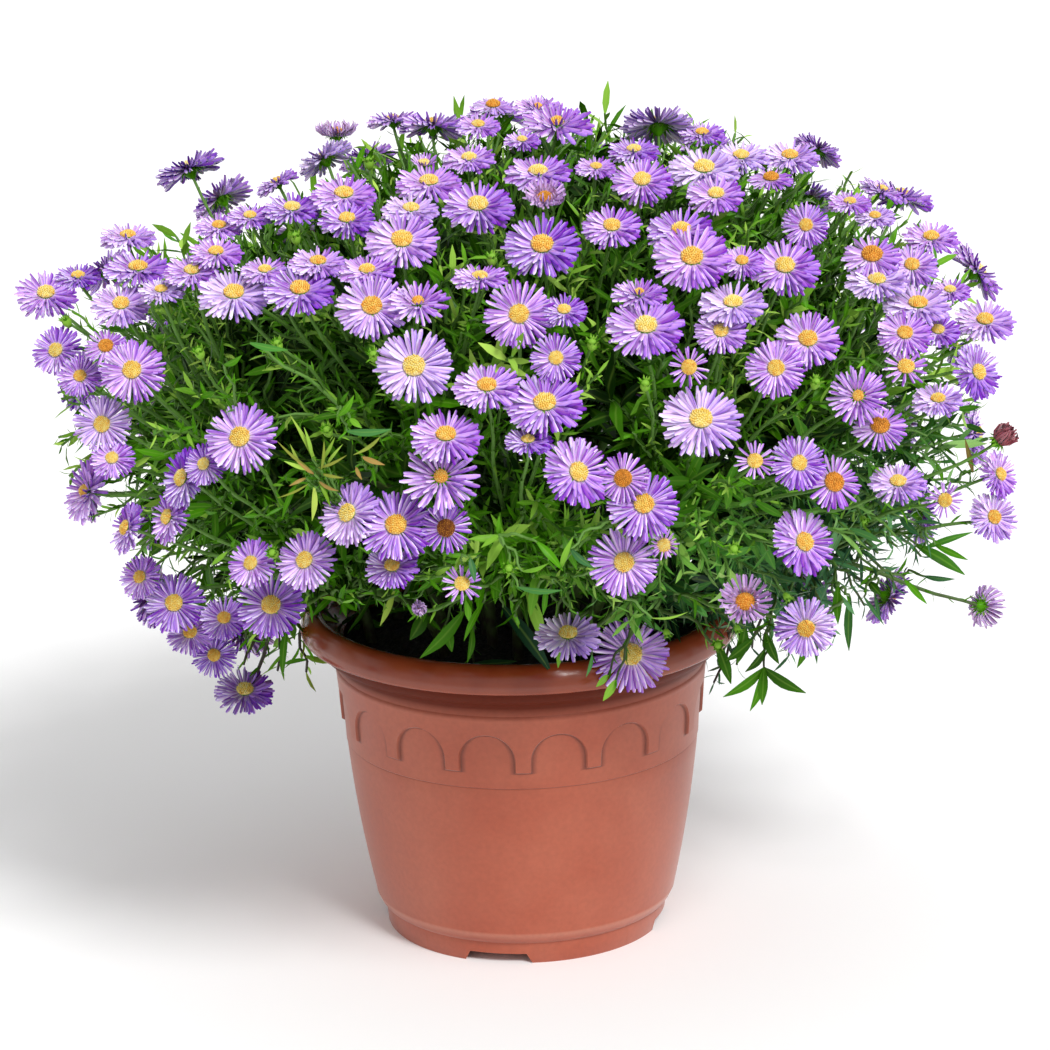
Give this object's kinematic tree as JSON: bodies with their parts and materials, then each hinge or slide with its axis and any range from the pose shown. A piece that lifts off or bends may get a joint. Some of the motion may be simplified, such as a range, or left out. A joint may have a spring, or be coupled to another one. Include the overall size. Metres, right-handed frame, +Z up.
{
  "type": "potted cushion aster",
  "caption": "Dense cushion of leafy stems with violet, yellow-centred daisy blooms in a round moulded plastic pot with an arcade in low relief and a rolled rim.",
  "frame": {"origin": "on the pot's axis, at the level of the foot on which the pot stands", "axes": "+Z up along the pot's axis; the pictured side faces -Y, and +X is to its right in the picture"},
  "size_m": [0.4425, 0.45, 0.379],
  "materials": {
    "pot_plastic": "satin terracotta-coloured moulded plastic with a glossy rim",
    "potting_soil": null,
    "foliage": null,
    "bloom": null
  },
  "bodies": {
    "root": {"pot": "pot_plastic", "soil": "potting_soil", "stem_01": "foliage", "flowers_01": "bloom", "stem_02": "foliage", "flowers_02": "bloom", "stem_03": "foliage", "flowers_03": "bloom", "stem_04": "foliage", "flowers_04": "bloom", "stem_05": "foliage", "flowers_05": "bloom", "stem_06": "foliage", "flowers_06": "bloom", "stem_07": "foliage", "flowers_07": "bloom", "stem_08": "foliage", "flowers_08": "bloom", "stem_09": "foliage", "flowers_09": "bloom", "stem_10": "foliage", "flowers_10": "bloom", "stem_11": "foliage", "flowers_11": "bloom", "stem_12": "foliage", "flowers_12": "bloom", "stem_13": "foliage", "flowers_13": "bloom", "stem_14": "foliage", "flowers_14": "bloom", "stem_15": "foliage", "flowers_15": "bloom", "stem_16": "foliage", "flowers_16": "bloom", "stem_17": "foliage", "flowers_17": "bloom", "stem_18": "foliage", "flowers_18": "bloom", "stem_19": "foliage", "flowers_19": "bloom", "stem_20": "foliage", "flowers_20": "bloom", "stem_21": "foliage", "flowers_21": "bloom", "stem_22": "foliage", "flowers_22": "bloom", "stem_23": "foliage", "flowers_23": "bloom", "stem_24": "foliage", "flowers_24": "bloom"}
  },
  "joints": []
}
